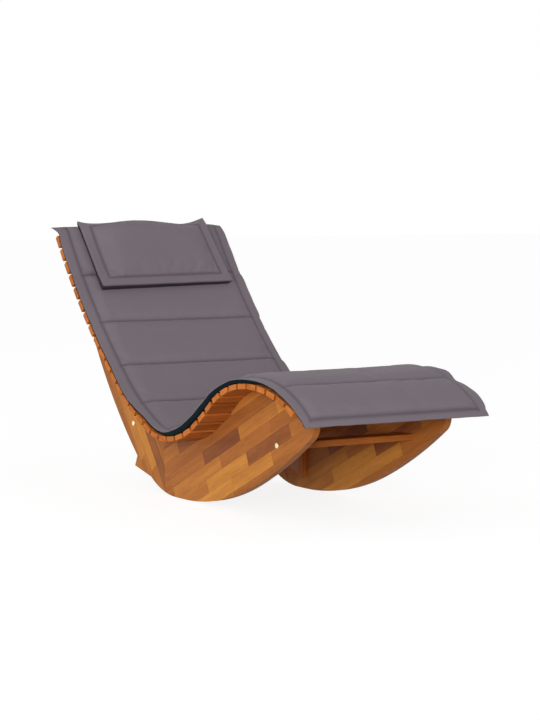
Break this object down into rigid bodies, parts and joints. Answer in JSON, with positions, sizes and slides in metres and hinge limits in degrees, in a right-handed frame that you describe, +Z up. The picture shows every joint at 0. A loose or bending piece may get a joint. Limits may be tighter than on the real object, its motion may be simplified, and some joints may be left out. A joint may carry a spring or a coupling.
{
  "type": "rocking sun lounger",
  "caption": "Wooden rocking sun lounger: slatted S-curved deck screwed to two curved side panels, with a channelled cushion and a headrest pillow.",
  "frame": {"origin": "on the floor, midway between the two rockers, at the middle of the short flats that they rest on", "axes": "+Y towards the head end, +Z up, +X to the sitter's left"},
  "size_m": [0.597, 1.4938, 0.7902],
  "materials": {
    "slat_wood": "oiled hardwood",
    "panel_wood": "oiled edge-glued hardwood staves",
    "rail_wood": "oiled hardwood",
    "dowel_wood": "plain beech",
    "screw_steel": "zinc plated",
    "nut_steel": "zinc plated",
    "bolt_brass": "satin brass",
    "cushion_fabric": "grey woven polyester",
    "pillow_fabric": "grey woven polyester"
  },
  "bodies": {
    "frame": {"slat_01": "slat_wood", "slat_02": "slat_wood", "slat_03": "slat_wood", "slat_04": "slat_wood", "slat_05": "slat_wood", "slat_06": "slat_wood", "slat_07": "slat_wood", "slat_08": "slat_wood", "slat_09": "slat_wood", "slat_10": "slat_wood", "slat_11": "slat_wood", "slat_12": "slat_wood", "slat_13": "slat_wood", "slat_14": "slat_wood", "slat_15": "slat_wood", "slat_16": "slat_wood", "slat_17": "slat_wood", "slat_18": "slat_wood", "slat_19": "slat_wood", "slat_20": "slat_wood", "slat_21": "slat_wood", "slat_22": "slat_wood", "slat_23": "slat_wood", "slat_24": "slat_wood", "slat_25": "slat_wood", "slat_26": "slat_wood", "slat_27": "slat_wood", "slat_28": "slat_wood", "slat_29": "slat_wood", "slat_30": "slat_wood", "slat_31": "slat_wood", "slat_32": "slat_wood", "slat_33": "slat_wood", "slat_34": "slat_wood", "left_front_panel": "panel_wood", "left_back_panel": "panel_wood", "right_front_panel": "panel_wood", "right_back_panel": "panel_wood", "left_joint_plate": "rail_wood", "right_joint_plate": "rail_wood", "front_cross_rail": "rail_wood", "rear_cross_rail": "rail_wood", "left_slat_screws": "screw_steel", "right_slat_screws": "screw_steel", "joint_plate_screws": "screw_steel", "rail_bolts": "bolt_brass", "rail_barrel_nuts": "nut_steel", "panel_dowels": "dowel_wood"},
    "cushion": {"seat_cushion": "cushion_fabric"},
    "headrest": {"headrest_pillow": "pillow_fabric"}
  },
  "joints": [
    {"name": "cushion_lift", "type": "slide", "parent": "frame", "child": "cushion", "axis": [0, 0, 1], "range_m": [0, 0.4]},
    {"name": "headrest_flip", "type": "hinge", "parent": "cushion", "child": "headrest", "pos_m": [0, 0.64456, 0.78797], "axis": [-1, 0, 0], "range_deg": [0, 150]}
  ]
}
